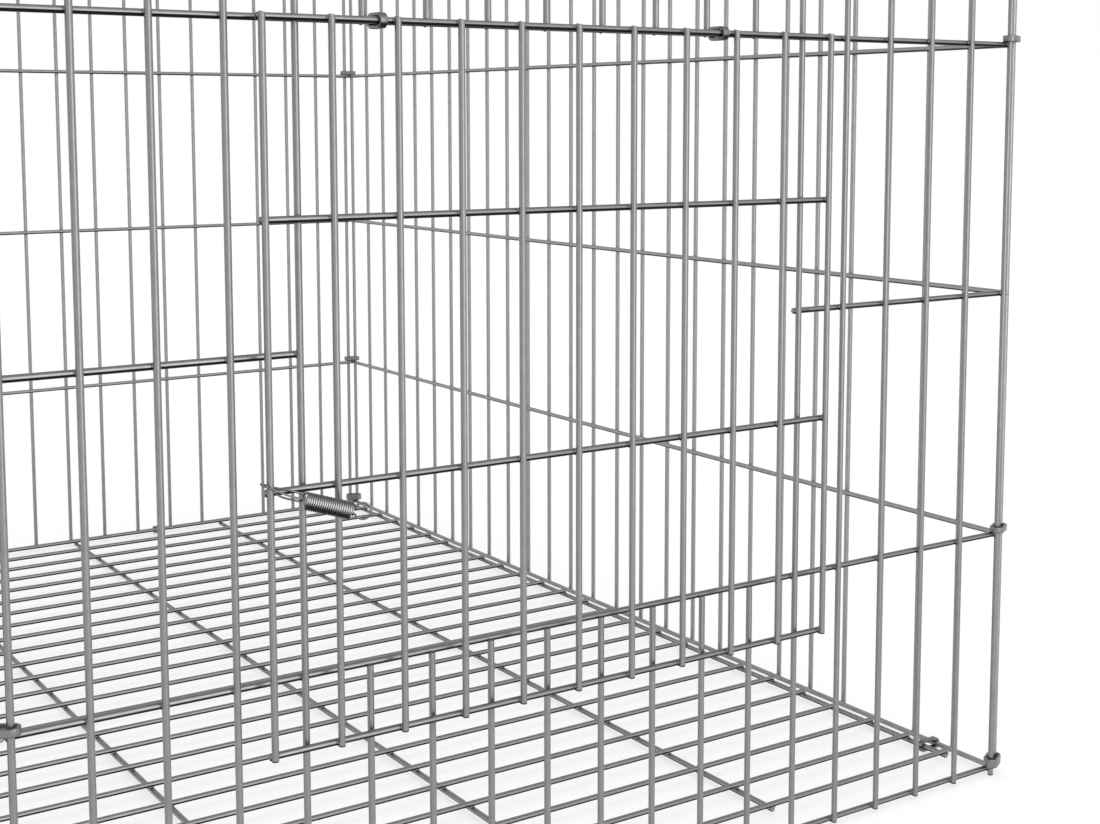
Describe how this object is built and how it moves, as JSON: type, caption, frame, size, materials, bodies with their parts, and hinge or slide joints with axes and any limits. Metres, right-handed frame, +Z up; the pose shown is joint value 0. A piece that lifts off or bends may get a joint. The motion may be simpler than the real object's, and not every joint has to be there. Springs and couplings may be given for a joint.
{
  "type": "rabbit cage",
  "caption": "Galvanised welded-wire rabbit cage with a mesh floor and roof, walls clipped at the corners, and a lift-up wire door with a hooked tension spring.",
  "frame": {"origin": "middle of the overall box, on the surface that the cage stands on", "axes": "+X to the right along the front, +Y from the door into the cage, +Z up"},
  "size_m": [0.5594, 0.8212, 0.548],
  "materials": {
    "galvanised_wire": "galvanised, dull",
    "clip_strip": "galvanised, satin",
    "spring_steel": "zinc plated, bright"
  },
  "bodies": {
    "cage": {"back_panel": "galvanised_wire", "corner_ring_back_left_lower": "clip_strip", "corner_ring_back_left_upper": "clip_strip", "corner_ring_back_right_lower": "clip_strip", "corner_ring_back_right_upper": "clip_strip", "corner_ring_front_left_lower": "clip_strip", "corner_ring_front_left_upper": "clip_strip", "corner_ring_front_right_lower": "clip_strip", "corner_ring_front_right_upper": "clip_strip", "door_hinge_ring_left": "clip_strip", "door_hinge_ring_right": "clip_strip", "floor_clip_back_left": "clip_strip", "floor_clip_back_right": "clip_strip", "floor_clip_front_left": "clip_strip", "floor_clip_front_right": "clip_strip", "floor_panel": "galvanised_wire", "foot_sleeve_back_left": "clip_strip", "foot_sleeve_back_right": "clip_strip", "foot_sleeve_front_left": "clip_strip", "foot_sleeve_front_right": "clip_strip", "front_panel_head": "galvanised_wire", "front_panel_left": "galvanised_wire", "front_panel_right": "galvanised_wire", "front_panel_sill": "galvanised_wire", "left_panel": "galvanised_wire", "right_panel": "galvanised_wire", "roof_clip_back_left": "clip_strip", "roof_clip_back_right": "clip_strip", "roof_clip_front_left": "clip_strip", "roof_clip_front_right": "clip_strip", "roof_panel": "galvanised_wire"},
    "door": {"door_panel": "galvanised_wire"},
    "spring": {"door_spring": "spring_steel"}
  },
  "joints": [
    {"name": "door_swing", "type": "hinge", "parent": "cage", "child": "door", "pos_m": [-0.0168, -0.39339, 0.4085], "axis": [-1, 0, 0], "range_deg": [0, 110]},
    {"name": "spring_swivel", "type": "hinge", "parent": "door", "child": "spring", "pos_m": [-0.1668, -0.39599, 0.22175], "axis": [0, 0, -1], "range_deg": [0, 130]}
  ]
}
